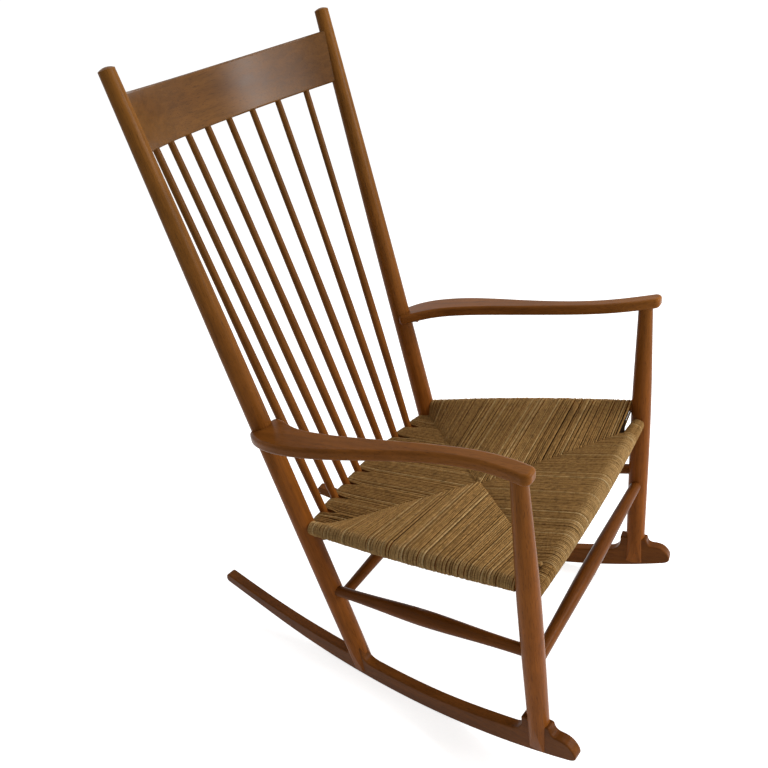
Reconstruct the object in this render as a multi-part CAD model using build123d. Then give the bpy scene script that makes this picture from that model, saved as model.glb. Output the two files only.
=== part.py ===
from build123d import *
from math import atan2, cos, degrees, radians, sin, sqrt, tan
import os

# High-back spindle rocking chair with a woven cord seat. Millimetres and degrees.
# The chair is laid out as on the assembly bench: x = 0 is the middle plane and +x the sitter's left,
# y = 0 is the front leg axis and +y runs to the back, z = 0 is the lowest point of the rockers' arc.
# The finished chair is then tipped to the angle at which it comes to rest on a level floor.

# Stance of the front legs and of the rear posts, measured at z = 0
leg_half_width = 245.5
leg_splay = 2.63
post_half_width = 200.1
post_setback = 372.2
post_splay = 2.83
post_rake = 10.62
post_top = 1100.0

# Turned thickness between the foot and the tip of the front leg and of the rear post: (height, radius)
leg_swell = [(236, 18.0), (416, 17.1), (508, 14.6)]
leg_foot_radius = 17.7
leg_tip_radius = 11.9
post_swell = [(224, 19.0), (421, 18.5), (654, 17.3), (855, 15.2), (974, 13.8)]
post_foot_radius = 18.3
post_tip_radius = 12.3
post_crown = 3.5
foot_crown = 5.0
foot_lift = 10.0
foot_cheek = 1.6
paring_above_block = 12.0

# Rockers: boards on edge, toed in with the legs, with a raised block under each leg and post
rocker_radius = 1160.0
rocker_low_point = 285.0
rocker_thickness = 20.0
rocker_height = 36.5
rocker_front_gain = 3.0
rocker_edge_round = 2.5
rocker_post_outset = 2.5
toe_reach = 68.0
toe_undercut = 14.0
toe_nose_rise = 7.5
toe_top_rise = 43.5
toe_corner = 11.0
toe_fall = 5.0
arc_end = 600.0
tail_reach = 729.5
tail_height = 20.3
tail_waist = 4.0
tail_round = 8.5
leg_block_top = 103.5
leg_block_ahead = 23.0
leg_block_behind = 27.5
leg_cove_ahead = 12.0
leg_cove_behind = 22.0
post_block_top = 72.0
post_block_ahead = 17.0
post_cove = 32.0
cove_depth = 8.0
block_round = 3.5
branch_round = 6.0

# Round stretchers: heights where their axes meet the leg and post axes, and (end, quarter, middle) radii
side_stretcher_front = 258.6
side_stretcher_rear = 199.0
front_stretcher_height = 230.2
rear_stretcher_height = 168.8
side_stretcher_radii = (9.8, 11.6, 14.2)
front_stretcher_radii = (10.2, 11.9, 13.3)
rear_stretcher_radii = (9.7, 11.1, 12.3)

# Seat rails, hidden in the cord
side_rail_front = 395.0
side_rail_rear = 340.2
front_rail_height = 367.0
rear_rail_height = 313.0
side_rail_radii = (8.8, 11.6, 12.8)
front_rail_radii = (8.8, 13.6, 15.6)
rear_rail_radius = 11.5
rear_rail_tenon_radius = 8.8
rear_rail_sagitta = 19.0

# Woven seat
cord_diameter = 3.2
seat_centre_y = 207.0
seat_centre_z = 346.0
seat_centre_thickness = 24.0
front_mitre_x = 207.0
spindle_hole_margin = 3.0

# Crest board, bowed to the back between the posts
crest_low = 980.7
crest_height = 85.0
crest_thickness = 14.0
crest_bow_radius = 412.0
crest_setback = 82.3
crest_edge_round = 3.0
crest_tenon_thickness = 9.0
crest_tenon_height = 66.0
crest_tenon_depth = 19.0

# Back spindles
spindle_count = 8
spindle_foot_pitch = 43.5
spindle_head_pitch = 54.5
spindle_radii = [(0.0, 6.8), (0.3, 7.9), (0.45, 7.6), (0.6, 6.6), (0.82, 6.1), (1.0, 5.5)]
spindle_foot_tenon_radius = 4.5
spindle_head_tenon_radius = 4.0
spindle_foot_tenon = 6.0
spindle_head_tenon = 20.0
spindle_head_shoulder = 3.0

# Arms: top height over the leg and at the post, and the outline as (share of the span, inside, outside),
# both measured from the straight line between the leg top and the post
arm_front_height = 606.6
arm_rear_height = 541.5
arm_thickness = 18.6
arm_overhang = 23.6
arm_arch = [(-0.05, -1.1), (0.32, 1.8), (0.6, 3.2), (0.84, 4.4), (0.96, 2.6), (1.05, -4.0)]
arm_outline = [(0.0, -14.6, 16.0), (0.13, -24.3, 4.2), (0.32, -20.6, 8.8), (0.54, -9.2, 31.4),
               (0.75, -2.3, 51.0), (0.86, -8.6, 52.0), (0.96, -26.5, 41.0)]
arm_tip_inside = -7.2
arm_tip_outside = 22.8
arm_heel_inside = -28.5
arm_heel_share = 0.985
arm_lobe_behind = 10.0
arm_lobe_outside = 20.0
arm_lobe_inside = -1.5
arm_tip_round = 10.0
arm_heel_round = 8.0
arm_lobe_round = 12.0
arm_edge_round = 5.5
arm_tenon_radius = 7.5
arm_tenon = 13.0
arm_dowel_radius = 4.0
arm_dowel_length = 40.0
arm_dowel_in_post = 22.0

# Fits
tenon_depth = 24.0
fit = 0.2
end_gap = 0.8
soft_gap = 0.3

# Angle between the bench layout and the chair at rest, tipping back
rest_tilt = 1.31


def leg_point(height):
    return Vector(leg_half_width + height * tan(radians(leg_splay)), 0, height)


def post_point(height):
    rise = tan(radians(post_rake))
    aside = post_half_width + height * tan(radians(post_splay))
    return Vector(aside, post_setback + height * rise, height)


def opposite(point):
    return Vector(-point.X, point.Y, point.Z)


def both_sides(solid):
    return solid + mirror(solid, Plane.YZ)


def radius_at(radii, height):
    below = max((pair for pair in radii if pair[0] <= height), default=radii[0])
    above = min((pair for pair in radii if pair[0] >= height), default=radii[-1])
    if above[0] == below[0]:
        return below[1]
    share = (height - below[0]) / (above[0] - below[0])
    return below[1] + share * (above[1] - below[1])


def crown_arc(edge_radius, edge_height, crown):
    # shallow dome from the axis to the rim; a negative crown domes downwards
    ball = (edge_radius ** 2 + crown ** 2) / (2 * abs(crown))
    middle = edge_radius * 0.6
    sink = (ball - sqrt(ball ** 2 - middle ** 2)) * (1 if crown > 0 else -1)
    top = edge_height + crown
    return ThreePointArc((0, 0, top), (middle, 0, top - sink), (edge_radius, 0, edge_height))


def revolved(start, end, outline):
    # outline lies in the local XZ plane, with z running from start to end
    solid = revolve(make_face(outline), Axis.Z, 360)
    return Plane(origin=start, z_dir=end - start) * solid


def rod(start, end, radius):
    upwards = (Align.CENTER, Align.CENTER, Align.MIN)
    return Plane(origin=start, z_dir=end - start) * Cylinder(radius, (end - start).length, align=upwards)


def beyond(start, end, distance):
    # the point that lies the given distance from start, on the line to end
    return start + (end - start).normalized() * distance


def cigar(start, end, radii, start_wall, end_wall):
    # turned swelling between two walls, distances along the line between the joint points
    end_radius, quarter_radius, middle_radius = radii
    length = (end - start).length
    span = length - start_wall - end_wall
    stations = [(end_radius, 0, start_wall), (quarter_radius, 0, start_wall + span / 4),
                (middle_radius, 0, start_wall + span / 2), (quarter_radius, 0, length - end_wall - span / 4),
                (end_radius, 0, length - end_wall)]
    outline = [Spline(*stations), Line(stations[-1], (0, 0, length - end_wall)),
               Line((0, 0, length - end_wall), (0, 0, start_wall)), Line((0, 0, start_wall), stations[0])]
    return revolved(start, end, outline)


def tenon_ends(start, end, start_radius, end_radius):
    # where the tenons stop inside the uprights, measured past the joint points
    return beyond(start, end, start_radius - tenon_depth), beyond(end, start, end_radius - tenon_depth)


def turned_bar(start, end, radii, start_radius, end_radius):
    # stretcher or seat rail: swollen body between the uprights, with a straight round tenon at each end
    body = cigar(start, end, radii, start_radius, end_radius)
    first, last = tenon_ends(start, end, start_radius, end_radius)
    return body + rod(first, last, radii[0])


def bar_socket(joint, towards, upright_radius, tenon_radius):
    # blind round hole in an upright for the tenon of a bar
    bottom = beyond(joint, towards, upright_radius - tenon_depth - end_gap)
    mouth = beyond(joint, towards, upright_radius + 2 * tenon_radius)
    return rod(bottom, mouth, tenon_radius + fit)


# Joint points
side_stretcher_line = (leg_point(side_stretcher_front), post_point(side_stretcher_rear))
front_stretcher_joint = leg_point(front_stretcher_height)
rear_stretcher_joint = post_point(rear_stretcher_height)
side_rail_line = (leg_point(side_rail_front), post_point(side_rail_rear))
front_rail_joint = leg_point(front_rail_height)
rear_rail_joint = post_point(rear_rail_height)
arm_front = leg_point(arm_front_height)
arm_rear = post_point(arm_rear_height)


def leg_radii():
    foot = arc_height(0) + foot_lift
    return [(foot, leg_foot_radius)] + leg_swell + [(arm_front_height - arm_thickness / 3, leg_tip_radius)]


def post_radii():
    foot = arc_height(post_setback) + foot_lift
    return [(foot, post_foot_radius)] + post_swell + [(post_top - post_crown, post_tip_radius)]


def leg_radius(height):
    return radius_at(leg_radii(), height)


def post_radius(height):
    return radius_at(post_radii(), height)


# Rockers
def rocker_frame():
    # vertical plane of the board: local x runs back from the front leg, local y is up
    front = leg_point((leg_block_top + arc_height(0)) / 2)
    rear = post_point(post_block_top / 2) + Vector(rocker_post_outset, 0, 0)
    toe_in = atan2(front.X - rear.X, rear.Y)
    backwards = (-sin(toe_in), cos(toe_in), 0)
    return Plane(origin=(front.X, 0, 0), x_dir=backwards, z_dir=(cos(toe_in), sin(toe_in), 0))


def arc_height(reach):
    return rocker_radius - sqrt(rocker_radius ** 2 - (reach - rocker_low_point) ** 2)


def arc_slope(reach):
    return (reach - rocker_low_point) / sqrt(rocker_radius ** 2 - (reach - rocker_low_point) ** 2)


def on_board(reach, rise):
    return (reach, arc_height(reach) + rise)


def rocker_board(thickness):
    post_reach = rocker_frame().to_local_coords(post_point(post_block_top)).X
    lean = tan(radians(post_rake))
    tail_slope = arc_slope(arc_end)

    toe_low = on_board(toe_undercut - toe_reach, 0)
    toe_nose = on_board(-toe_reach, toe_nose_rise)
    toe_top = on_board(-leg_block_ahead - leg_cove_ahead, toe_top_rise)
    tail_low = (tail_reach, arc_height(arc_end) + (tail_reach - arc_end) * tail_slope)
    tail_top = (tail_reach - tail_height * tail_slope, tail_low[1] + tail_height)
    post_back = (post_reach + post_radius(post_block_top), post_block_top)
    post_foot = on_board(post_back[0] - (post_block_top - rocker_height) * lean, rocker_height)
    post_front = (post_reach - post_block_ahead, post_block_top)
    post_cove_bend = on_board(post_front[0] - cove_depth, rocker_height + cove_depth)
    post_cove_foot = on_board(post_front[0] - post_cove, rocker_height)
    leg_cove_foot = on_board(leg_block_behind + leg_cove_behind, rocker_height + rocker_front_gain)
    leg_cove_bend = (leg_block_behind + leg_cove_behind / 3, leg_cove_foot[1] + cove_depth)
    leg_back = (leg_block_behind, leg_block_top)
    leg_cove_top = (leg_block_behind, leg_block_top - 3 * block_round)
    leg_front = (-leg_block_ahead, leg_block_top)
    tail_ridge = on_board((arc_end + post_foot[0]) / 2, rocker_height - tail_waist)
    middle_ridge = on_board((post_cove_foot[0] + leg_cove_foot[0]) / 2, rocker_height)

    def along_board(point):
        return (-1, -arc_slope(point[0]))

    outline = [
        ThreePointArc(toe_low, (rocker_low_point, 0), on_board(arc_end, 0)),
        Line(on_board(arc_end, 0), tail_low),
        Line(tail_low, tail_top),
        Spline(tail_top, tail_ridge, post_foot, tangents=[(-1, -tail_slope), along_board(post_foot)]),
        Line(post_foot, post_back),
        Line(post_back, post_front),
        Spline(post_front, post_cove_bend, post_cove_foot,
               tangents=[(-0.35, -1), along_board(post_cove_foot)]),
        Spline(post_cove_foot, middle_ridge, leg_cove_foot,
               tangents=[along_board(post_cove_foot), along_board(leg_cove_foot)]),
        Spline(leg_cove_foot, leg_cove_bend, leg_cove_top, tangents=[along_board(leg_cove_foot), (0, 1)]),
        Line(leg_cove_top, leg_back),
        Line(leg_back, leg_front),
        Spline(leg_front, toe_top, tangents=[(-0.1, -1), (-1, 0.05)]),
        Spline(toe_top, (toe_corner - toe_reach, toe_top[1] - toe_fall), toe_nose, toe_low,
               tangents=[(-1, 0.05), (1, arc_slope(toe_low[0]))])]
    side = make_face(outline)
    rounds = [(tail_low, tail_round), (tail_top, tail_round), (post_foot, branch_round),
              (post_back, block_round), (post_front, block_round), (leg_back, block_round),
              (leg_front, block_round)]
    for corner, radius in rounds:
        side = fillet(side.vertices().sort_by_distance((*corner, 0))[:1], radius)
    board = extrude(side, thickness / 2, both=True)
    rims = board.faces().sort_by(Axis.Z)[0].edges() + board.faces().sort_by(Axis.Z)[-1].edges()
    return fillet(rims, rocker_edge_round)


def rocker_board_in_place(thickness):
    return rocker_frame() * rocker_board(thickness)


# Legs and posts
def leg_blank(extra=0.0):
    radii = [(height, radius + extra) for height, radius in leg_radii()]
    return upright(leg_point, radii, foot_crown, 0)


def post_blank(extra=0.0):
    radii = [(height, radius + extra) for height, radius in post_radii()]
    return upright(post_point, radii, foot_crown, post_crown)


def upright(axis_point, radii, low_crown, high_crown):
    foot, top = radii[0][0], radii[-1][0]
    start, end = axis_point(foot), axis_point(top)
    stretch = (end - start).length / (top - foot)
    rim = [(radius, 0, (height - foot) * stretch) for height, radius in radii]
    outline = [Spline(*rim), crown_arc(rim[0][0], 0, -low_crown)]
    tip = (0, 0, rim[-1][2] + high_crown)
    if high_crown:
        outline.append(crown_arc(rim[-1][0], rim[-1][2], high_crown))
    else:
        outline.append(Line(rim[-1], tip))
    outline.append(Line(tip, (0, 0, -low_crown)))
    return revolved(start, end, outline)


def foot_paring(axis_point, radii, block_top):
    # what is pared off a foot, so that its two cheeks run out into the faces of the rocker
    board = rocker_frame()
    high = block_top + paring_above_block
    low = radii[0][0] - foot_crown
    centre = board.to_local_coords(axis_point(high))
    lean = centre - board.to_local_coords(axis_point(low))
    origin = board.from_local_coords(Vector(centre.X, 0, 0))
    across = Plane(origin=origin, x_dir=board.z_dir, z_dir=-board.x_dir)
    reach = 3 * radii[0][1]
    waste = []
    for side in (1, -1):
        start = (centre.Z + side * radius_at(radii, high), high)
        end = (side * (rocker_thickness / 2 + foot_cheek), low)
        outline = [TangentArc(start, end, tangent=(-lean.Z, -lean.Y)), Line(end, (side * reach, low)),
                   Line((side * reach, low), (side * reach, high)), Line((side * reach, high), start)]
        waste.append(extrude(across * make_face(outline), reach, both=True))
    return waste[0] + waste[1]


def arm_tenon_line(past_end=0.0):
    # along the leg axis, from inside the leg up into the arm
    underside = leg_point(arm_front_height - arm_thickness)
    above = leg_point(arm_front_height)
    return beyond(underside, above, -arm_tenon), beyond(underside, above, arm_tenon + past_end)


def dowel_line(past_end=0.0):
    # hidden dowel between arm and post, lying along the arm
    centre = post_point(arm_rear_height - arm_thickness * 0.6)
    inside = centre + Vector(0, arm_dowel_in_post - post_radius(arm_rear_height) + past_end, 0)
    return inside, inside - Vector(0, arm_dowel_length + 2 * past_end, 0)


def front_leg():
    leg = leg_blank() - arm_blank() - rocker_board_in_place(rocker_thickness + 2 * fit)
    leg -= foot_paring(leg_point, leg_radii(), leg_block_top)
    leg += rod(*arm_tenon_line(), arm_tenon_radius)
    opposite_rail = opposite(front_rail_joint)
    opposite_stretcher = opposite(front_stretcher_joint)
    leg -= bar_socket(side_rail_line[0], side_rail_line[1], leg_radius(side_rail_front), side_rail_radii[0])
    leg -= bar_socket(side_stretcher_line[0], side_stretcher_line[1], leg_radius(side_stretcher_front),
                      side_stretcher_radii[0])
    leg -= bar_socket(front_rail_joint, opposite_rail, leg_radius(front_rail_height), front_rail_radii[0])
    leg -= bar_socket(front_stretcher_joint, opposite_stretcher, leg_radius(front_stretcher_height),
                      front_stretcher_radii[0])
    return leg


def rear_post():
    post = post_blank() - rocker_board_in_place(rocker_thickness + 2 * fit)
    post -= foot_paring(post_point, post_radii(), post_block_top)
    post -= bar_socket(side_rail_line[1], side_rail_line[0], post_radius(side_rail_rear), side_rail_radii[0])
    post -= bar_socket(side_stretcher_line[1], side_stretcher_line[0], post_radius(side_stretcher_rear),
                       side_stretcher_radii[0])
    opposite_stretcher = opposite(rear_stretcher_joint)
    post -= bar_socket(rear_stretcher_joint, opposite_stretcher, post_radius(rear_stretcher_height),
                       rear_stretcher_radii[0])
    post -= rear_rail_sweep(rear_rail_tenon_radius + fit, rear_rail_reach() + end_gap)
    post -= crest_tenon(fit, end_gap)
    post -= rod(*dowel_line(end_gap), arm_dowel_radius + fit)
    return post


# Seat rails and stretchers
def rear_rail_radius_of_bow():
    return (rear_rail_joint.X ** 2 + rear_rail_sagitta ** 2) / (2 * rear_rail_sagitta)


def rear_rail_point(x):
    bow = rear_rail_radius_of_bow()
    return Vector(x, rear_rail_joint.Y + rear_rail_sagitta - bow + sqrt(bow ** 2 - x ** 2), rear_rail_height)


def rear_rail_reach():
    return rear_rail_joint.X - post_radius(rear_rail_height) + tenon_depth


def rear_rail_sweep(radius, reach):
    path = ThreePointArc(rear_rail_point(-reach), rear_rail_point(0), rear_rail_point(reach))
    section = Plane(origin=path @ 0, z_dir=path % 0) * Circle(radius)
    return sweep(section, path)


def rear_rail_blank():
    body = rear_rail_sweep(rear_rail_radius, rear_rail_joint.X) - both_sides(post_blank())
    return body + rear_rail_sweep(rear_rail_tenon_radius, rear_rail_reach())


def rear_rail():
    rail = rear_rail_blank()
    for index in range(spindle_count):
        foot, head = spindle_ends(index)
        bottom = beyond(foot, head, -spindle_foot_tenon - end_gap)
        rail -= rod(bottom, beyond(foot, head, 2 * rear_rail_radius), spindle_foot_tenon_radius + fit)
    return rail


def front_rail():
    radius = leg_radius(front_rail_height)
    return turned_bar(front_rail_joint, opposite(front_rail_joint), front_rail_radii, radius, radius)


def side_rail():
    return turned_bar(*side_rail_line, side_rail_radii, leg_radius(side_rail_front),
                      post_radius(side_rail_rear))


def front_stretcher():
    radius = leg_radius(front_stretcher_height)
    return turned_bar(front_stretcher_joint, opposite(front_stretcher_joint), front_stretcher_radii,
                      radius, radius)


def rear_stretcher():
    radius = post_radius(rear_stretcher_height)
    return turned_bar(rear_stretcher_joint, opposite(rear_stretcher_joint), rear_stretcher_radii,
                      radius, radius)


def side_stretcher():
    return turned_bar(*side_stretcher_line, side_stretcher_radii, leg_radius(side_stretcher_front),
                      post_radius(side_stretcher_rear))


# Crest board
def crest_frame():
    rake = radians(post_rake)
    middle = post_point(crest_low)
    return Plane(origin=(0, middle.Y, middle.Z), x_dir=(1, 0, 0), z_dir=(0, sin(rake), cos(rake)))


def crest_offset(x):
    # how far the board's middle surface lies behind the plane of the posts
    return crest_setback - crest_bow_radius + sqrt(crest_bow_radius ** 2 - x ** 2)


def crest_section(half_span, thickness):
    sweep_angle = 2 * degrees(atan2(half_span, sqrt(crest_bow_radius ** 2 - half_span ** 2)))
    start = 90 - sweep_angle / 2
    middle = (0, crest_setback - crest_bow_radius)
    outer = CenterArc(middle, crest_bow_radius + thickness / 2, start, sweep_angle)
    inner = CenterArc(middle, crest_bow_radius - thickness / 2, start, sweep_angle)
    return make_face([outer, inner, Line(outer @ 0, inner @ 0), Line(outer @ 1, inner @ 1)])


def crest_blank():
    half_span = post_point(crest_low + crest_height).X
    board = extrude(crest_section(half_span, crest_thickness), crest_height)
    rims = board.faces().sort_by(Axis.Z)[0].edges() + board.faces().sort_by(Axis.Z)[-1].edges()
    board = fillet(rims.filter_by(GeomType.CIRCLE), crest_edge_round)
    return crest_frame() * board


def crest_tenon(side_gap=0.0, end_clearance=0.0):
    middle = post_point(crest_low + crest_height / 2)
    half_span = middle.X - post_radius(crest_low) + crest_tenon_depth + end_clearance
    board = extrude(crest_section(half_span, crest_tenon_thickness + 2 * side_gap),
                    crest_tenon_height + 2 * side_gap)
    lift = (crest_height - crest_tenon_height) / 2 - side_gap
    return crest_frame() * (Pos(0, 0, lift) * board)


def crest_board():
    crest = crest_blank() - both_sides(post_blank()) + crest_tenon()
    for index in range(spindle_count):
        foot, head = spindle_ends(index)
        top = beyond(head, foot, -spindle_head_tenon - end_gap)
        crest -= rod(beyond(head, foot, 3 * spindle_head_shoulder), top, spindle_head_tenon_radius + fit)
    return crest


# Spindles
def spindle_ends(index):
    place = index - (spindle_count - 1) / 2
    x = place * spindle_head_pitch
    head = crest_frame().from_local_coords(Vector(x, crest_offset(x), 0))
    return rear_rail_point(place * spindle_foot_pitch), head


def spindle_body(index):
    foot, head = spindle_ends(index)
    head = beyond(head, foot, -spindle_head_shoulder)
    length = (head - foot).length
    rim = [(radius, 0, share * length) for share, radius in spindle_radii]
    tip = (0, 0, length)
    outline = [Spline(*rim), Line(rim[-1], tip), Line(tip, (0, 0, 0)), Line((0, 0, 0), rim[0])]
    return revolved(foot, head, outline)


def spindle(index):
    foot, head = spindle_ends(index)
    body = spindle_body(index) - rear_rail_sweep(rear_rail_radius, rear_rail_joint.X) - crest_blank()
    body += rod(beyond(foot, head, -spindle_foot_tenon), beyond(foot, head, 2 * rear_rail_radius),
                spindle_foot_tenon_radius)
    return body + rod(beyond(head, foot, 4 * spindle_head_shoulder), beyond(head, foot, -spindle_head_tenon),
                      spindle_head_tenon_radius)


# Arms
def arm_plan_point(share, aside):
    # aside is measured outwards from the line between the leg top and the post
    place = arm_front + (arm_rear - arm_front) * share
    return (place.X + aside, place.Y)


def arm_side_point(share, lift):
    place = arm_front + (arm_rear - arm_front) * share
    return (0, place.Y, place.Z + lift)


def arm_blank():
    tip_share = -arm_overhang / arm_rear.Y
    lobe_share = 1 + arm_lobe_behind / arm_rear.Y
    inside = [arm_plan_point(tip_share, arm_tip_inside)]
    inside += [arm_plan_point(share, inner) for share, inner, outer in arm_outline]
    inside.append(arm_plan_point(arm_heel_share, arm_heel_inside))
    outside = [arm_plan_point(tip_share, arm_tip_outside)]
    outside += [arm_plan_point(share, outer) for share, inner, outer in arm_outline]
    outside.append(arm_plan_point(lobe_share, arm_lobe_outside))
    lobe_end = arm_plan_point(lobe_share, arm_lobe_inside)
    heel = (lobe_end[0], inside[-1][1])
    plan = make_face([Spline(*inside), Line(inside[-1], heel), Line(heel, lobe_end),
                      Line(lobe_end, outside[-1]), Spline(*outside), Line(outside[0], inside[0])])
    corners = plan.vertices()
    plan = fillet(corners.sort_by(Axis.Y)[:2], arm_tip_round)
    plan = fillet(plan.vertices().sort_by_distance((*outside[-1], 0))[:1], arm_lobe_round)
    plan = fillet(plan.vertices().sort_by_distance((*inside[-1], 0))[:1], arm_heel_round)
    top = Spline(*[arm_side_point(share, lift) for share, lift in arm_arch])
    drop = Vector(0, 0, -arm_thickness)
    bottom = Spline(*[Vector(*arm_side_point(share, lift)) + drop for share, lift in arm_arch])
    side = make_face([top, bottom, Line(top @ 0, bottom @ 0), Line(top @ 1, bottom @ 1)])
    width = arm_front.X * 2
    arm = extrude(plan, width * 2) & extrude(side, width, dir=(1, 0, 0))
    rims = arm.edges().filter_by(Axis.Z, reverse=True)
    return fillet(rims, arm_edge_round)


def arm():
    solid = arm_blank() - post_blank(fit)
    solid -= rod(*arm_tenon_line(end_gap), arm_tenon_radius + fit)
    return solid - rod(*dowel_line(end_gap), arm_dowel_radius + fit)


def arm_dowel():
    return rod(*dowel_line(), arm_dowel_radius)


# Woven seat
def roll_radii(radii, extra):
    return tuple(radius + extra for radius in radii)


def quilt(rim, centre):
    # closed body of flat fields that fall from the rail axes to the low centre of the seat
    # rim holds (point on a rail axis, half height) in order round the seat, centre the same for the middle
    top = [point + Vector(0, 0, half) for point, half in rim + [centre]]
    bottom = [point - Vector(0, 0, half) for point, half in rim + [centre]]
    faces = []
    for index in range(len(rim)):
        after = (index + 1) % len(rim)
        outlines = [[top[-1], top[index], top[after]], [bottom[-1], bottom[index], bottom[after]],
                    [top[index], top[after], bottom[after], bottom[index]]]
        faces += [Face(Wire.make_polygon(outline, close=True)) for outline in outlines]
    return Solid(Shell(faces))


def seat_fields():
    front, rear = side_rail_line
    side_half = side_rail_radii[0] + cord_diameter
    left = [(Vector(front_mitre_x, 0, front_rail_height), front_rail_radii[0] + cord_diameter),
            (beyond(front, rear, leg_radius(side_rail_front) + soft_gap), side_half),
            (beyond(rear, front, post_radius(side_rail_rear) + soft_gap), side_half),
            (rear_rail_joint, rear_rail_radius + cord_diameter)]
    right = [(opposite(point), half) for point, half in reversed(left)]
    rim = left + [(rear_rail_point(0), rear_rail_radius + cord_diameter)] + right
    rim.append((Vector(0, 0, front_rail_height), front_rail_radii[2] + cord_diameter))
    half = seat_centre_thickness / 2
    return quilt(rim, (Vector(0, seat_centre_y, seat_centre_z - half), half))


def seat():
    # cord wound over the four rails, with a tunnel for each rail and a hole round each spindle
    leg_wall = leg_radius(side_rail_front) + soft_gap
    post_wall = post_radius(side_rail_rear) + soft_gap
    across = (front_rail_joint, opposite(front_rail_joint))
    woven = seat_fields()
    woven += cigar(*across, roll_radii(front_rail_radii, cord_diameter), leg_wall, leg_wall)
    woven += both_sides(cigar(*side_rail_line, roll_radii(side_rail_radii, cord_diameter),
                              leg_wall, post_wall))
    woven += rear_rail_sweep(rear_rail_radius + cord_diameter, rear_rail_joint.X)
    woven -= both_sides(turned_bar(*side_rail_line, roll_radii(side_rail_radii, soft_gap),
                                   leg_wall, post_wall))
    woven -= turned_bar(*across, roll_radii(front_rail_radii, soft_gap), leg_wall, leg_wall)
    woven -= rear_rail_sweep(rear_rail_radius + soft_gap, rear_rail_reach())
    woven -= both_sides(leg_blank(soft_gap)) + both_sides(post_blank(soft_gap))
    for index in range(spindle_count):
        foot, head = spindle_ends(index)
        above = beyond(foot, head, 5 * rear_rail_radius)
        woven -= rod(foot, above, spindle_radii[0][1] + spindle_hole_margin)
    return woven


def build():
    pieces = {"crest_board": crest_board(), "seat_rail_front": front_rail(), "seat_rail_rear": rear_rail(),
              "stretcher_front": front_stretcher(), "stretcher_rear": rear_stretcher(),
              "papercord_seat": seat()}
    handed = {"rocker": rocker_board_in_place(rocker_thickness), "front_leg": front_leg(),
              "rear_post": rear_post(), "arm": arm(), "arm_dowel": arm_dowel(), "seat_rail": side_rail(),
              "stretcher": side_stretcher()}
    for name, solid in handed.items():
        pieces[name + "_left"] = solid
        pieces[name + "_right"] = mirror(solid, Plane.YZ)
    for index in range(spindle_count):
        pieces[f"spindle_{index + 1}"] = spindle(index)
    return pieces


def at_rest(pieces):
    # tip the chair back about the centre of its rocker arc, then put the origin under the middle of its box
    toe_in = atan2(leg_half_width - post_half_width, post_setback)
    centre = Vector(0, rocker_low_point * cos(toe_in), rocker_radius)
    tipped = {name: solid.rotate(Axis(centre, (1, 0, 0)), -rest_tilt) for name, solid in pieces.items()}
    boxes = [solid.bounding_box() for solid in tipped.values()]
    front = min(box.min.Y for box in boxes)
    back = max(box.max.Y for box in boxes)
    floor = min(box.min.Z for box in boxes)
    shift = Pos(0, -(front + back) / 2, -floor)
    return {name: shift * solid for name, solid in tipped.items()}


os.makedirs("parts", exist_ok=True)
for name, solid in at_rest(build()).items():
    export_step(solid, f"parts/{name}.step")
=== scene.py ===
import bisect
import math
import random

import bmesh
import bpy
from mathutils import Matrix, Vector


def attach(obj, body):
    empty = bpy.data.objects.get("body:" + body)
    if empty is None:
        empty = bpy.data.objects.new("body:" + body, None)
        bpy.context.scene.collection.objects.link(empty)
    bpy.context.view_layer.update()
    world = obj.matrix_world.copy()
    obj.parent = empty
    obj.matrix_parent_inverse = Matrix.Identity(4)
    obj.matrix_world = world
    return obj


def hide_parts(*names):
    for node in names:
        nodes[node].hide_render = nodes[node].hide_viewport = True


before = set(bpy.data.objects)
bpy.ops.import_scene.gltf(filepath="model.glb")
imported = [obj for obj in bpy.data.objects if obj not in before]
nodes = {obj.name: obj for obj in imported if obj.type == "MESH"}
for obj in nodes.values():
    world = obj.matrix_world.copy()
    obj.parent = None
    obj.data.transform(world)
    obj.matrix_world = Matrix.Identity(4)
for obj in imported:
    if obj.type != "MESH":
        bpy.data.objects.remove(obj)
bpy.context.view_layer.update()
random.seed(11)                  # the cords lie the same way in each run
up = Vector((0, 0, 1))
endZone = 0.004                  # the end face of a bar is looked for this near to its tip
print("frame loaded,", len(nodes), "CAD nodes")


# small helpers
def mix(a, b, share):
    return a + (b - a) * share


def linear(red, green, blue):
    # colours are written as they look, 0 to 255, and turned into scene values here
    values = [((c / 255 + 0.055) / 1.055) ** 2.4 if c > 10 else c / 3294 for c in (red, green, blue)]
    return (*values, 1)


def grey(value):
    return (value, value, value, 1)


def vertsOf(name):
    return [v.co.copy() for v in nodes[name].data.vertices]


def boxMiddle(points):
    return Vector([(min(p[i] for p in points) + max(p[i] for p in points)) / 2 for i in range(3)])


def barEnds(points, axis):
    # middle points of the two end faces of a straight turned bar
    low = min(p[axis] for p in points)
    high = max(p[axis] for p in points)
    return (boxMiddle([p for p in points if p[axis] < low + endZone]),
            boxMiddle([p for p in points if p[axis] > high - endZone]))


def mirrored(points):
    return [Vector((-p.x, p.y, p.z)) for p in points]


def addNode(tree, kind, place, **values):
    # values that start with in_ go to the node's inputs, the others to its settings
    node = tree.nodes.new(kind)
    node.location = place
    for key, value in values.items():
        if key.startswith("in_"):
            node.inputs[key[3:].replace("_", " ")].default_value = value
        else:
            setattr(node, key, value)
    return node


def addRamp(tree, place, source, stops):
    # each stop is a position and either a colour or one grey value
    ramp = addNode(tree, "ShaderNodeValToRGB", place)
    while len(ramp.color_ramp.elements) < len(stops):
        ramp.color_ramp.elements.new(0.5)
    for element, (position, colour) in zip(ramp.color_ramp.elements, stops):
        element.position = position
        element.color = grey(colour) if isinstance(colour, (int, float)) else colour
    tree.links.new(source, ramp.inputs["Fac"])
    return ramp.outputs["Color"]


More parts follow.
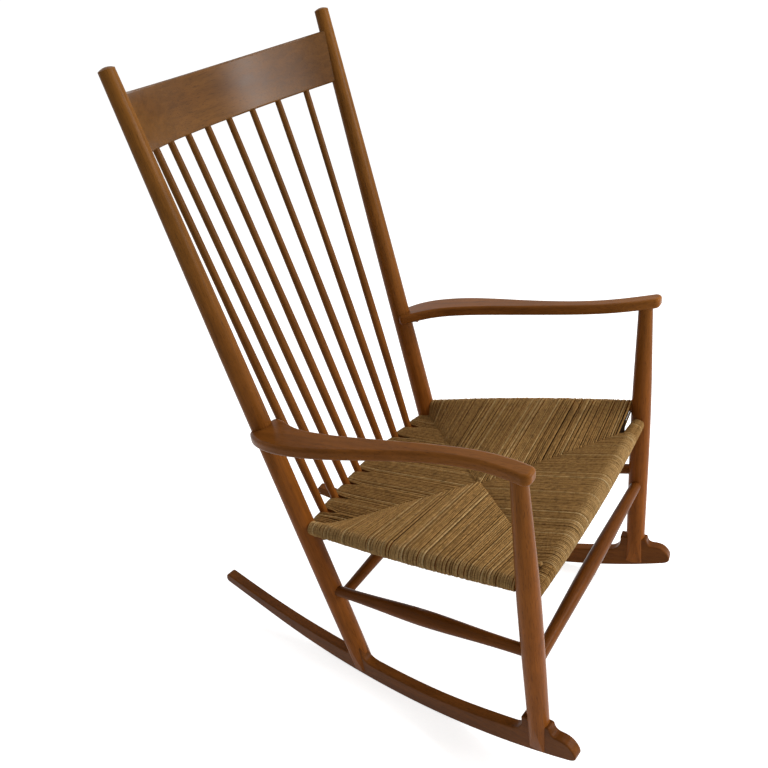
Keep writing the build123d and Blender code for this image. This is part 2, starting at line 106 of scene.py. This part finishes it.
def addNoise(tree, place, vector, scale, detail, roughness, distortion=0.0):
    noise = addNode(tree, "ShaderNodeTexNoise", place, in_Scale=scale, in_Detail=detail,
                    in_Roughness=roughness, in_Distortion=distortion)
    tree.links.new(vector, noise.inputs["Vector"])
    return noise.outputs["Fac"]


def addMath(tree, place, operation, first, second):
    # a maths node between an output and either an output or a number
    node = addNode(tree, "ShaderNodeMath", place, operation=operation)
    for socket, source in zip(node.inputs, (first, second)):
        if isinstance(source, (int, float)):
            socket.default_value = source
        else:
            tree.links.new(source, socket)
    return node.outputs["Value"]


def blend(tree, place, kind, share, first, second):
    # a colour mix, whose colour sockets are the inputs 6 and 7 and the output 2
    node = addNode(tree, "ShaderNodeMix", place, data_type="RGBA", blend_type=kind)
    for socket, source in zip((node.inputs[0], node.inputs[6], node.inputs[7]), (share, first, second)):
        if isinstance(source, (int, float, tuple)):
            socket.default_value = source
        else:
            tree.links.new(source, socket)
    return node.outputs[2]


def addBump(tree, place, shader, height, strength, depth):
    bump = addNode(tree, "ShaderNodeBump", place, in_Strength=strength, in_Distance=depth)
    tree.links.new(height, bump.inputs["Height"])
    tree.links.new(bump.outputs["Normal"], shader.inputs["Normal"])


def newMaterial(name, shine):
    material = bpy.data.materials.new(name)
    material.use_nodes = True
    tree = material.node_tree
    tree.nodes.clear()
    out = addNode(tree, "ShaderNodeOutputMaterial", (1100, 0))
    shader = addNode(tree, "ShaderNodeBsdfPrincipled", (800, 0))
    shader.inputs["Specular IOR Level"].default_value = shine
    tree.links.new(shader.outputs["BSDF"], out.inputs["Surface"])
    return material, tree, shader


def newPiece(name, data):
    piece = bpy.data.objects.new(name, data)
    bpy.context.scene.collection.objects.link(piece)
    return piece


# lacquered wood, each piece with the grain along it
wood = {
    "light": (150, 87, 33),
    "dark": (127, 70, 24),
    "fleck": (66, 34, 12),
    "tones": {"crest_board": 0.82, "rocker": 0.78, "stretcher": 0.82, "spindle": 0.93},
    "stretch": 16.0,             # length of the grain to its width
    "clouds": (14.0, 3.0, 0.5),  # scale, detail, roughness and distortion of a pattern
    "figure": (130.0, 6.0, 0.6, 0.4),
    "pores": (900.0, 3.0, 0.55),
    "stain": (22.0, 2.0, 0.5),
    "cloudStops": (0.32, 0.68),  # from dark to light wood
    "figureRamp": ((0.38, 0.7), (0.6, 1.08)),
    "figureShare": 0.6,
    "stainRamp": ((0.3, 0.9), (0.7, 1.08)),
    "stainShare": 0.8,
    "poreRamp": ((0.33, 1.0), (0.44, 0.0)),
    "poreShare": 0.5,
    "upperTint": (0.82, 1.06, 1.25),  # the colour turns a cooler brown towards the top of the chair
    "upperTintRamp": ((0.3, 0.0), (0.85, 1.0)),
    "roughness": (0.26, 0.36),
    "shine": 0.05,
    "boardShine": 0.14,
    "bump": 0.04,
    "bumpDepth": 0.0006,
}


def grainDirection(name):
    # middle of the piece and the direction in which it is longest
    points = vertsOf(name)
    middle = sum(points, Vector()) / len(points)
    along = Vector((1, 1, 1))
    for step in range(12):       # each round turns it nearer to that direction
        along = sum(((p - middle) * (p - middle).dot(along) for p in points), Vector()).normalized()
    return middle, along


def makeWood(name):
    board = name.startswith("crest")
    material, tree, shader = newMaterial(name + "_wood", wood["boardShine"] if board else wood["shine"])
    link = tree.links.new
    middle, along = grainDirection(name)
    coords = addNode(tree, "ShaderNodeTexCoord", (-1400, 0)).outputs["Object"]
    turn = addNode(tree, "ShaderNodeMapping", (-1200, 0), vector_type="TEXTURE", in_Location=middle,
                   in_Rotation=along.to_track_quat("Z", "Y").to_euler(), in_Scale=(1, 1, wood["stretch"]))
    link(coords, turn.inputs["Vector"])
    clouds = addNoise(tree, (-960, 320), turn.outputs["Vector"], *wood["clouds"])
    figure = addNoise(tree, (-960, 0), turn.outputs["Vector"], *wood["figure"])
    pores = addNoise(tree, (-960, -320), turn.outputs["Vector"], *wood["pores"])
    stain = addNoise(tree, (-960, 620), coords, *wood["stain"])

    tone = next((value for key, value in wood["tones"].items() if name.startswith(key)), 1.0)
    light, dark, fleck = (linear(*(c * tone for c in wood[key])) for key in ("light", "dark", "fleck"))
    tones = addRamp(tree, (-700, 320), clouds, tuple(zip(wood["cloudStops"], (dark, light))))
    grain = addRamp(tree, (-700, 0), figure, wood["figureRamp"])
    patches = addRamp(tree, (-700, 620), stain, wood["stainRamp"])
    flecks = addRamp(tree, (-700, -320), pores, wood["poreRamp"])
    grained = blend(tree, (-380, 200), "MULTIPLY", wood["figureShare"], tones, grain)
    stained = blend(tree, (-160, 300), "MULTIPLY", wood["stainShare"], grained, patches)
    fleckShare = addMath(tree, (-380, -260), "MULTIPLY", flecks, wood["poreShare"])
    flecked = blend(tree, (80, 200), "MIX", fleckShare, stained, fleck)
    heights = addNode(tree, "ShaderNodeSeparateXYZ", (-160, 520))
    link(coords, heights.inputs["Vector"])
    # towards the top the colour is multiplied into a cooler brown
    high = addRamp(tree, (80, 520), heights.outputs["Z"], wood["upperTintRamp"])
    colour = blend(tree, (420, 260), "MULTIPLY", high, flecked, (*wood["upperTint"], 1))
    link(colour, shader.inputs["Base Color"])

    gloss = addNode(tree, "ShaderNodeMapRange", (400, -120))
    gloss.inputs["To Min"].default_value, gloss.inputs["To Max"].default_value = wood["roughness"]
    link(figure, gloss.inputs["Value"])
    link(gloss.outputs["Result"], shader.inputs["Roughness"])
    addBump(tree, (400, -400), shader, figure, wood["bump"], wood["bumpDepth"])
    return material


woodNames = [name for name in nodes if name != "papercord_seat"]
for name in woodNames:
    nodes[name].data.materials.clear()
    nodes[name].data.materials.append(makeWood(name))
print("wood materials on", len(woodNames), "nodes")


# the woven seat and the rails that carry it
seat = {
    "cord": 0.0031,              # cord diameter
    "thickness": (0.95, 1.06),   # share of the diameter that a single turn has
    "sides": 1,                  # bevel resolution of a cord, 1 gives six sides
    "pitch": 0.0033,             # from one cord to the next
    "pairing": (1.08, 0.93),     # share of the pitch between pairs and within a pair
    "gaps": (0.94, 0.97, 0.99, 1.0, 1.0, 1.02, 1.05, 1.22),   # one of these at random for each gap
    "tenon": 0.024,              # length of a rail's end that is inside a leg or post
    "leastRailRadius": 0.008,    # thinner rings of a rail's mesh aren't counted
    "rearRailRadius": 0.0115,
    "hubWidth": 0.001,           # the middle of the seat is looked for within this much of the
    "hubFrom": -0.22,            # centre line, and between these two places along it
    "hubTo": 0.02,
    "frontMitre": 0.207,         # where the front field ends, from the middle
    "rearMitre": 0.001,          # from a rear mitre corner to the end of the side rail
    "cornerLift": 0.012,         # top of the cord over the rail's axis at a front corner
    "rearCornerCords": 0.9,      # cord diameters over the rail at a rear corner
    "lastShare": 0.97,           # how far along a mitre the last turns of a side or rear field are
    "pastMitre": 0.002,          # how far a turn runs on past the mitre
    "topDive": ((0.0018, 0.009), (0.0014, 0.003), (0, 0.0006)),   # its end, inwards and down
    "underDive": (0.001, 0.006),
    "arcSteps": 9,               # points of a turn over the rail, and on its way there
    "runSteps": 5,
    "shortRun": 2.2,             # a run of fewer cord diameters becomes a ring round the rail
    "ringSteps": 14,
    "ringStart": 0.9,
    "skew": 0.002,
    "waveShare": 0.7,            # of the drift of a cord, for its second wave and its lift
    "liftShare": 0.5,
    "spindleClear": 0.0056,      # from the middle of a spindle to the first cord
    "rearGroup": 11,             # cords between two spindles
    "hump": 0.001,               # how much the bunched cords rise between the spindles
    "spread": (0.006, 0.03),     # least and full length in which a bunch spreads out
    "spreadStart": 0.3,          # share of the rail's radius in front of its axis
}
fields = {                       # random height at the mitre, random lift at the rail, drift
    "side": {"height": (0.0010, 0.0024), "lift": (0, 0.0005), "drift": 0.0009},
    "front": {"height": (-0.0004, -0.0014), "lift": (0, 0.0003), "drift": 0.0003},
    "rear": {"height": (-0.0002, -0.0012), "lift": (0, 0.0004), "drift": 0.0004},
}
cordRadius = seat["cord"] / 2


class StraightRail:
    def __init__(self, name, axis):
        points = vertsOf(name)
        self.axis = axis
        self.start, self.end = barEnds(points, axis)
        self.along = (self.end - self.start).normalized()
        rings = {}               # largest radius in each millimetre
        for point in points:
            offset = point - self.start
            reach = offset.dot(self.along)
            radius = (offset - self.along * reach).length
            key = round(reach, 3)
            rings[key] = max(rings.get(key, 0), radius)
        self.reaches = sorted(r for r in rings if rings[r] > seat["leastRailRadius"])
        self.radii = [rings[r] for r in self.reaches]

    def at(self, place):
        # axis point and rail radius where the coordinate along the rail is place
        share = (place - self.start[self.axis]) / (self.end[self.axis] - self.start[self.axis])
        reach = share * (self.end - self.start).length
        after = max(1, min(len(self.reaches) - 1, bisect.bisect(self.reaches, reach)))
        low, high = self.reaches[after - 1], self.reaches[after]
        inside = max(0, min(1, (reach - low) / (high - low)))
        return self.start.lerp(self.end, share), mix(self.radii[after - 1], self.radii[after], inside)


class BowedRail:
    def __init__(self, name, radius):
        points = vertsOf(name)
        self.radius = radius
        self.height = boxMiddle(points).z
        self.end = max(p.x for p in points)
        self.reach = self.end - seat["tenon"]
        self.middleY = max(p.y for p in points) - radius
        tipY = boxMiddle([p for p in points if p.x > self.end - endZone]).y
        self.along = Vector((1, 0, 0))
        self.drop = (self.middleY - tipY) / self.end ** 2

    def at(self, place):
        return Vector((place, self.middleY - self.drop * place ** 2, self.height)), self.radius


sideRail = StraightRail("seat_rail_left", 1)
frontRail = StraightRail("seat_rail_front", 0)
rearRail = BowedRail("seat_rail_rear", seat["rearRailRadius"])

middleVerts = [p for p in vertsOf("papercord_seat")
               if abs(p.x) < seat["hubWidth"] and seat["hubFrom"] < p.y < seat["hubTo"]]
middleVerts.sort(key=lambda p: p.z)
hub = {"top": middleVerts[-1], "under": middleVerts[0]}
corners = {
    "front": frontRail.at(seat["frontMitre"])[0],
    "rear": rearRail.at(sideRail.end.x - seat["rearMitre"])[0],
}
cornerHalf = {
    "front": seat["cornerLift"],
    "rear": seat["rearRailRadius"] + seat["cord"] * seat["rearCornerCords"],
}
print("rails measured, seat middle at", [round(c, 4) for c in hub["top"]])


def mitrePoint(corner, share, layer):
    # cord centre on the line from the seat's middle to a mitre corner
    side = 1 if layer == "top" else -1
    end = corners[corner] + up * side * cornerHalf[corner]
    return hub[layer].lerp(end, share) - up * side * cordRadius


def innerEnds(corner, share, field, outward):
    # the two ends of a turn of cord, at the top mitre and the under mitre
    topIn, underIn = mitrePoint(corner, share, "top"), mitrePoint(corner, share, "under")
    topIn -= outward * seat["pastMitre"]
    topIn.z += random.uniform(*fields[field]["height"])
    return topIn, underIn


def ringRound(axis, radius, along, lift):
    # one full turn of cord round a rail, slightly skewed
    side = along.cross(up).normalized()
    top = side.cross(along)
    wrap = radius + cordRadius + lift
    ring = []
    for step in range(seat["ringSteps"] + 1):
        share = step / seat["ringSteps"]
        angle = 2 * math.pi * share + seat["ringStart"]
        ring.append(axis + side * math.cos(angle) * wrap + top * math.sin(angle) * wrap
                    + along * seat["skew"] * (share - 0.5))
    return ring


def roundRail(rail, place, outward, topIn, underIn, lift):
    # taut cord from the top mitre over the rail and back to the under mitre
    axis, radius = rail.at(place)
    if (axis - topIn).dot(outward) < radius + seat["shortRun"] * seat["cord"]:
        return ringRound(axis, radius, rail.along, lift)
    wrap = radius + cordRadius + lift

    def touch(point, side):
        # angle at which the straight run from the point meets the rail
        u, v = (point - axis).dot(outward), point.z - axis.z
        return math.atan2(v, u) - side * math.acos(min(1, wrap / math.hypot(u, v)))

    start, stop = touch(topIn, 1), touch(underIn, -1)
    if stop > start:
        stop -= 2 * math.pi
    base = topIn - outward * (topIn - axis).dot(outward)
    base.z = axis.z
    arc = []
    for step in range(seat["arcSteps"] + 1):
        angle = mix(start, stop, step / seat["arcSteps"])
        arc.append(base + outward * math.cos(angle) * wrap + up * math.sin(angle) * wrap)
    shares = [step / (seat["runSteps"] + 1) for step in range(1, seat["runSteps"] + 1)]
    path = [topIn - outward * back - up * down for back, down in seat["topDive"]]
    path += [topIn.lerp(arc[0], share) for share in shares]
    path += arc
    path += [underIn.lerp(arc[-1], 1 - share) for share in shares[::2]]
    path += [underIn + up * rise for rise in seat["underDive"]]
    return path


def wander(path, sideways, amount):
    # a cord never lies quite straight: it drifts aside and lifts a little on its way
    drift, wave, rise = (random.uniform(-1, 1) * amount for n in range(3))
    for index, point in enumerate(path):
        phase = math.pi * index / (len(path) - 1)
        point += sideways * (drift * math.sin(phase) + wave * seat["waveShare"] * math.sin(2 * phase))
        point += up * rise * seat["liftShare"] * math.sin(phase)
    return path


def unevenPlaces(start, stop):
    # cords lie in close pairs, with a wider gap now and then
    places, place = [], start
    while place < stop:
        places.append(place)
        place += seat["pitch"] * seat["pairing"][len(places) % 2] * random.choice(seat["gaps"])
    return places


def sideCords():
    paths = []
    outward, along = Vector((1, 0, 0)), Vector((0, 1, 0))
    start = sideRail.start.y + seat["tenon"] + cordRadius
    stop = sideRail.end.y - seat["tenon"] + cordRadius
    middle = hub["top"].y
    for side in (1, -1):
        for y in unevenPlaces(start, stop):
            corner = "front" if y < middle else "rear"
            share = min(seat["lastShare"], (y - middle) / (corners[corner].y - middle))
            topIn, underIn = innerEnds(corner, share, "side", outward)
            topIn.y = underIn.y = y
            path = roundRail(sideRail, y, outward, topIn, underIn, random.uniform(*fields["side"]["lift"]))
            path = wander(path, along, fields["side"]["drift"])
            paths.append(path if side > 0 else mirrored(path))
    return paths


def frontCords():
    paths = []
    outward, along = Vector((0, -1, 0)), Vector((1, 0, 0))
    reach = frontRail.end.x - seat["tenon"] - cordRadius
    for x in unevenPlaces(-reach, reach):
        topIn, underIn = innerEnds("front", abs(x) / seat["frontMitre"], "front", outward)
        topIn.x = underIn.x = x
        path = roundRail(frontRail, x, outward, topIn, underIn, random.uniform(*fields["front"]["lift"]))
        paths.append(wander(path, along, fields["front"]["drift"]))
    return paths


def spindleFeet():
    # places of the spindles along the rear rail
    feet = []
    for name in nodes:
        if name.startswith("spindle_"):
            points = vertsOf(name)
            low = min(p.z for p in points)
            feet.append(boxMiddle([p for p in points if p.z < low + endZone]).x)
    return sorted(feet)


def rearCords():
    # one bunch between each two spindles, drawn together at the rail
    paths = []
    outward, along = Vector((0, 1, 0)), Vector((1, 0, 0))
    wall = rearRail.reach + seat["spindleClear"]
    edges = [-wall] + spindleFeet() + [wall]
    for left, right in zip(edges, edges[1:]):
        middle = (left + right) / 2
        wide = (right - left) / 2 - cordRadius
        tight = wide - seat["spindleClear"]
        for index in range(seat["rearGroup"]):
            place = 2 * index / (seat["rearGroup"] - 1) - 1
            atRail, atMitre = middle + place * tight, middle + place * wide
            share = min(seat["lastShare"], abs(atMitre) / corners["rear"].x)
            topIn, underIn = innerEnds("rear", share, "rear", outward)
            topIn.x = underIn.x = atRail
            lift = seat["hump"] * (1 - place * place) + random.uniform(*fields["rear"]["lift"])
            path = roundRail(rearRail, atRail, outward, topIn, underIn, lift)
            spreadFrom = rearRail.at(atRail)[0].y - seat["rearRailRadius"] * seat["spreadStart"]
            shortest, longest = seat["spread"]
            length = max(shortest, min(longest, spreadFrom - topIn.y))
            for point in path:
                loose = max(0, min(1, (spreadFrom - point.y) / length))
                point.x = mix(atRail, atMitre, loose * loose * (3 - 2 * loose))
            paths.append(wander(path, along, fields["rear"]["drift"]))
    return paths


# knots where lengths of cord were tied together
knot = {
    "size": 0.0011,
    "steps": 36,
    "flatness": 0.7,
    "atHub": (((0.009, 0.002, 0.0008), 0.4), ((0.021, -0.013, 0.0012), 1.5)),   # offset and lean
    "atRightLeg": ((0.006, 0.0085, 0.0165), 0.9),
}


def knotPath(place, lean):
    # small overhand knot in a cord, drawn tight
    path = []
    for step in range(knot["steps"] + 1):
        a = 2 * math.pi * step / knot["steps"]
        x = math.sin(a) + 2 * math.sin(2 * a)
        y = math.cos(a) - 2 * math.cos(2 * a)
        z = -math.sin(3 * a) * knot["flatness"]
        turned = Vector((x * math.cos(lean) - y * math.sin(lean), x * math.sin(lean) + y * math.cos(lean), z))
        path.append(place + turned * knot["size"])
    return path


def knots():
    paths = [knotPath(hub["top"] + Vector(offset), lean) for offset, lean in knot["atHub"]]
    offset, lean = knot["atRightLeg"]
    rightCorner = mirrored([corners["front"]])[0]
    return paths + [knotPath(rightCorner + Vector(offset), lean)]


# paper cord, twisted from three strands
paper = {
    "light": (190, 156, 104),
    "mid": (157, 119, 69),
    "dark": (122, 88, 45),
    "paintedRollLight": (1.16, 1.27, 1.5),   # painted light: the cord is made paler where it rolls over a rail, where more light falls on it
    "paintedRollLightRamp": ((0.35, 0.0), (0.44, 1.0), (0.6, 1.0), (0.72, 0.0)),
    "toneStops": (0.0, 0.35, 0.8, 1.0),
    "tone": 0.52,                # mean tone of a turn, 0 is dark and 1 light
    "pairLightAndShade": 0.18,            # painted light and shade: one cord of each pair is painted lighter and one darker by this
    "looseTone": 0.26,           # and each by up to this at random
    "patches": (150.0, 5.0, 0.7),
    "patchRamp": ((0.3, 0.7), (0.7, 1.14)),
    "patchShare": 0.85,
    "dashes": 60.0,              # changes of tone along one turn of cord
    "dashNoise": (1.0, 2.0, 0.6),
    "dashRamp": ((0.32, 0.66), (0.5, 1.0), (0.7, 1.24)),
    "dashShare": 0.9,
    "toneShift": 400.0,          # keeps the changes of two cords apart
    "twists": 46.0,              # turns of the strands' twist along one turn of cord
    "strands": 3.0,
    # painted shade in the grooves of the twist
    "strandShadeRamp": ((0.0, 0.78), (0.25, 1.0)),
    "strandShadeShare": 0.8,
    "roughness": 0.7,
    "shine": 0.06,
    "bump": 0.5,
    "bumpDepth": 0.0005,
}


def cordPiece(name, paths):
    # every turn of cord is one bevelled spline, all made one mesh with a tone for each turn, made of its own
    # tone and painted light and shade
    curve = bpy.data.curves.new(name, "CURVE")
    curve.dimensions = "3D"
    curve.bevel_depth = cordRadius
    curve.bevel_resolution = seat["sides"]
    for path in paths:
        spline = curve.splines.new("POLY")
        spline.points.add(len(path) - 1)
        thick = random.uniform(*seat["thickness"])
        for point, place in zip(spline.points, path):
            point.co = (*place, 1)
            point.radius = thick
    holder = bpy.data.objects.new(name + "_curve", curve)
    mesh = bpy.data.meshes.new_from_object(holder)
    bpy.data.objects.remove(holder)
    bpy.data.curves.remove(curve)
    mesh.name = name
    around = 4 + 2 * seat["sides"]
    tones = []
    for index, path in enumerate(paths):
        loose = random.uniform(-paper["looseTone"], paper["looseTone"])
        # painted light and shade: the cords of a pair alternate lighter and darker; the loose part is the
        # cord's own tone at random
        tone = paper["tone"] + paper["pairLightAndShade"] * (-1) ** index + loose
        tones += [tone] * (len(path) * around)
    shade = mesh.attributes.new("cordToneAndShade", "FLOAT", "POINT")
    shade.data.foreach_set("value", tones)
    shaped = bmesh.new()
    shaped.from_mesh(mesh)
    bmesh.ops.holes_fill(shaped, edges=shaped.edges, sides=around)
    bmesh.ops.recalc_face_normals(shaped, faces=shaped.faces)
    for face in shaped.faces:
        face.smooth = True
    shaped.to_mesh(mesh)
    shaped.free()
    return newPiece(name, mesh)


def makePaperCord():
    material, tree, shader = newMaterial("twistedPaperCord", paper["shine"])
    link = tree.links.new
    shader.inputs["Roughness"].default_value = paper["roughness"]
    # the tone holds the cord's own tone and the painted light and shade of the pairs
    tone = addNode(tree, "ShaderNodeAttribute", (-900, 300), attribute_name="cordToneAndShade").outputs["Fac"]
    dark, mid, light = (linear(*paper[key]) for key in ("dark", "mid", "light"))
    shades = addRamp(tree, (-640, 300), tone, tuple(zip(paper["toneStops"], (dark, mid, mid, light))))
    coords = addNode(tree, "ShaderNodeTexCoord", (-1200, 0)).outputs["Object"]
    patches = addNoise(tree, (-900, 0), coords, *paper["patches"])
    patchShades = addRamp(tree, (-640, 0), patches, paper["patchRamp"])
    mottled = blend(tree, (-300, 150), "MULTIPLY", paper["patchShare"], shades, patchShades)

    # the cord's own map has x along the turn and y round the cord
    ownMap = addNode(tree, "ShaderNodeUVMap", (-1200, -400), uv_map="UVMap")
    parts = addNode(tree, "ShaderNodeSeparateXYZ", (-1000, -400))
    link(ownMap.outputs["UV"], parts.inputs["Vector"])
    alongTurn, roundCord = parts.outputs["X"], parts.outputs["Y"]

    # a tone that changes along each cord by itself
    place = addNode(tree, "ShaderNodeCombineXYZ", (-800, 560))
    link(addMath(tree, (-1000, 620), "MULTIPLY", alongTurn, paper["dashes"]), place.inputs["X"])
    link(addMath(tree, (-1000, 500), "MULTIPLY", tone, paper["toneShift"]), place.inputs["Y"])
    dashes = addNoise(tree, (-640, 560), place.outputs["Vector"], *paper["dashNoise"])
    dashShades = addRamp(tree, (-460, 560), dashes, paper["dashRamp"])
    dashed = blend(tree, (-100, 300), "MULTIPLY", paper["dashShare"], mottled, dashShades)

    # painted shade in the grooves between the twisted strands; the same grooves also drive the bump
    twist = addMath(tree, (-800, -360), "MULTIPLY", alongTurn, paper["twists"])
    turn = addMath(tree, (-800, -520), "MULTIPLY", roundCord, paper["strands"])
    slant = addMath(tree, (-600, -420), "ADD", twist, turn)
    groove = addMath(tree, (-420, -420), "PINGPONG", slant, 0.5)
    grooveShades = addRamp(tree, (-220, -300), groove, paper["strandShadeRamp"])
    twisted = blend(tree, (60, 100), "MULTIPLY", paper["strandShadeShare"], dashed, grooveShades)
    # painted light: the part of each turn that lies over the rail is lightened
    paintedLightShare = addRamp(tree, (60, 460), alongTurn, paper["paintedRollLightRamp"])
    colour = blend(tree, (400, 200), "MULTIPLY", paintedLightShare, twisted, (*paper["paintedRollLight"], 1))
    link(colour, shader.inputs["Base Color"])
    addBump(tree, (400, -360), shader, groove, paper["bump"], paper["bumpDepth"])
    return material


# inner layers of cord that close the view between the outer turns, coloured near black as painted shade of
# the seat's inside
shadedFilling = {
    # painted shade: these dark browns stand for the shade inside the seat, not for the cord's own colour
    "light": (58, 38, 18),
    "dark": (34, 20, 8),
    "noise": (300.0, 3.0, 0.5),
    "toneStops": (0.3, 0.7),
    "roughness": 0.9,
    "shine": 0.1,
    "middleHalf": 0.0045,        # half its height in the middle and at its rim
    "rimHalf": 0.0025,
    "frontShort": 0.05,          # share of a mitre by which it stops before the corner
    "rearShort": 0.08,
    "sideInset": 0.006,          # from the axis of a rail to the rim
    "rearInset": 0.008,
    "sidePlaces": ((-0.296, 0.005), (-0.24, 0.005), (-0.01, 0.006), (0.06, 0.011)),   # place and drop
    "rearPlaces": (0.15, 0.07),
}


def makeShadedFilling():
    material, tree, shader = newMaterial("seatFillingPaintedShade", shadedFilling["shine"])
    shader.inputs["Roughness"].default_value = shadedFilling["roughness"]
    coords = addNode(tree, "ShaderNodeTexCoord", (-900, 0)).outputs["Object"]
    noise = addNoise(tree, (-640, 0), coords, *shadedFilling["noise"])
    # painted shade: the seat's inside is coloured a noisy near-black brown
    colours = (linear(*shadedFilling["dark"]), linear(*shadedFilling["light"]))
    colour = addRamp(tree, (-400, 0), noise, tuple(zip(shadedFilling["toneStops"], colours)))
    tree.links.new(colour, shader.inputs["Base Color"])
    return material


def fillingRim():
    # from the middle of the front rail round the left side and back round the right one
    hubMiddle = (hub["top"] + hub["under"]) / 2
    rearInset = Vector((0, shadedFilling["rearInset"], 0))
    half = [corners["front"].lerp(hubMiddle, shadedFilling["frontShort"])]
    half += [sideRail.at(y)[0] - Vector((shadedFilling["sideInset"], 0, drop)) for y, drop in shadedFilling["sidePlaces"]]
    half.append(corners["rear"].lerp(hubMiddle, shadedFilling["rearShort"]))
    half += [rearRail.at(x)[0] - rearInset for x in shadedFilling["rearPlaces"]]
    return [frontRail.at(0)[0]] + half + [rearRail.at(0)[0] - rearInset] + mirrored(reversed(half))


def fillingPiece():
    # a fan from the middle to the rim, made as thick as the inner layers are
    rim = fillingRim()
    shaped = bmesh.new()
    made = bmesh.ops.create_circle(shaped, cap_ends=True, cap_tris=True, segments=len(rim), radius=1)["verts"]
    middle = min(made, key=lambda v: v.co.length)
    around = sorted((v for v in made if v is not middle),
                    key=lambda v: round(math.atan2(v.co.x, -v.co.y) % (2 * math.pi), 4))
    for vert, place in zip(around, rim):
        vert.co = place
    middle.co = (hub["top"] + hub["under"]) / 2
    grown = bmesh.ops.extrude_face_region(shaped, geom=shaped.faces[:])["geom"]
    lifted = [g for g in grown if isinstance(g, bmesh.types.BMVert)]
    middles = (middle, min(lifted, key=lambda v: (v.co - middle.co).length))
    for vert in made + lifted:
        half = shadedFilling["middleHalf"] if vert in middles else shadedFilling["rimHalf"]
        vert.co.z += half if vert in lifted else -half
    bmesh.ops.recalc_face_normals(shaped, faces=shaped.faces)
    mesh = bpy.data.meshes.new("seat_filling_painted_shade")
    shaped.to_mesh(mesh)
    shaped.free()
    return newPiece("seat_filling_painted_shade", mesh)


def putOnChair(piece, material):
    piece.data.materials.append(material)
    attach(piece, "root")
    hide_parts("papercord_seat")
    print(piece.name, len(piece.data.polygons), "faces")


cordMaterial = makePaperCord()
for name, build in (("side_cords", sideCords), ("front_cords", frontCords), ("rear_cords", rearCords),
                    ("cord_knots", knots)):
    putOnChair(cordPiece(name, build()), cordMaterial)
putOnChair(fillingPiece(), makeShadedFilling())


# floor, light and camera
room = {
    "floor": 30.0,               # half its width
    "white": 0.93,
    "sky": 0.4,                  # strength of the world as a light; where it is seen it is 1
    "glow": 0.7,                 # added to the floor only where it is seen
}
lamps = {                        # place, aim, size and watts
    "window": ((0.6, -3.0, 1.4), (0, 0, 0.5), (1.4, 1.0), 42),
    "overhead": ((1.2, 0.0, 2.8), (0, 0, 0.4), (1.6, 1.6), 20),
    "crestGlow": ((1.0, -1.65, 1.4), (0.08, 0.32, 1.01), (0.4, 0.3), 14),
}
view = {
    "place": (-1.100975, -0.692775, 1.247994),
    "turn": (58.6011, 6.0784, -58.9109),   # degrees
    "lens": 40.279,
    "sensor": 36,
    "shiftUp": 0.0469,
}


def backdropWhite(tree, place):
    # 1 for rays that see the backdrop directly, in a reflection or through glass
    path = addNode(tree, "ShaderNodeLightPath", place)
    seen = addMath(tree, (place[0] + 200, place[1]), "MAXIMUM", path.outputs["Is Camera Ray"],
                   path.outputs["Is Glossy Ray"])
    return addMath(tree, (place[0] + 400, place[1]), "MAXIMUM", seen, path.outputs["Is Transmission Ray"])


def makeFloor():
    shaped = bmesh.new()
    bmesh.ops.create_grid(shaped, x_segments=1, y_segments=1, size=room["floor"])
    mesh = bpy.data.meshes.new("floor")
    shaped.to_mesh(mesh)
    shaped.free()
    floor = newPiece("floor", mesh)
    material = bpy.data.materials.new("paleFloor")
    material.use_nodes = True
    tree = material.node_tree
    tree.nodes.clear()
    out = addNode(tree, "ShaderNodeOutputMaterial", (600, 0))
    diffuse = addNode(tree, "ShaderNodeBsdfDiffuse", (0, 100), in_Color=grey(room["white"]))
    glow = addNode(tree, "ShaderNodeEmission", (0, -100))
    strength = addMath(tree, (-200, -200), "MULTIPLY", backdropWhite(tree, (-800, -100)), room["glow"])
    both = addNode(tree, "ShaderNodeAddShader", (300, 0))
    tree.links.new(strength, glow.inputs["Strength"])
    tree.links.new(diffuse.outputs["BSDF"], both.inputs[0])
    tree.links.new(glow.outputs["Emission"], both.inputs[1])
    tree.links.new(both.outputs["Shader"], out.inputs["Surface"])
    floor.data.materials.append(material)


def makeSky():
    world = bpy.data.worlds.new("studio")
    bpy.context.scene.world = world
    world.use_nodes = True
    tree = world.node_tree
    background = tree.nodes["Background"]
    background.inputs["Color"].default_value = grey(1)
    level = addNode(tree, "ShaderNodeMapRange", (-250, 0))
    level.inputs["To Min"].default_value = room["sky"]
    level.inputs["To Max"].default_value = 1.0
    tree.links.new(backdropWhite(tree, (-900, 0)), level.inputs["Value"])
    tree.links.new(level.outputs["Result"], background.inputs["Strength"])


def softLamp(name, place, aim, size, power):
    lamp = bpy.data.lights.new(name, "AREA")
    lamp.shape = "RECTANGLE"
    lamp.size, lamp.size_y = size
    lamp.energy = power
    holder = newPiece(name, lamp)
    holder.location = place
    holder.rotation_euler = (Vector(aim) - Vector(place)).to_track_quat("-Z", "Y").to_euler()


def makeCamera():
    lens = bpy.data.cameras.new("camera")
    lens.sensor_width = view["sensor"]
    lens.lens = view["lens"]
    lens.shift_y = view["shiftUp"]
    camera = newPiece("camera", lens)
    camera.location = view["place"]
    camera.rotation_euler = [math.radians(a) for a in view["turn"]]
    bpy.context.scene.camera = camera


makeFloor()
makeSky()
for name, (place, aim, size, power) in lamps.items():
    softLamp(name, place, aim, size, power)
makeCamera()
bpy.context.scene.view_settings.view_transform = "Standard"
print("stage set")
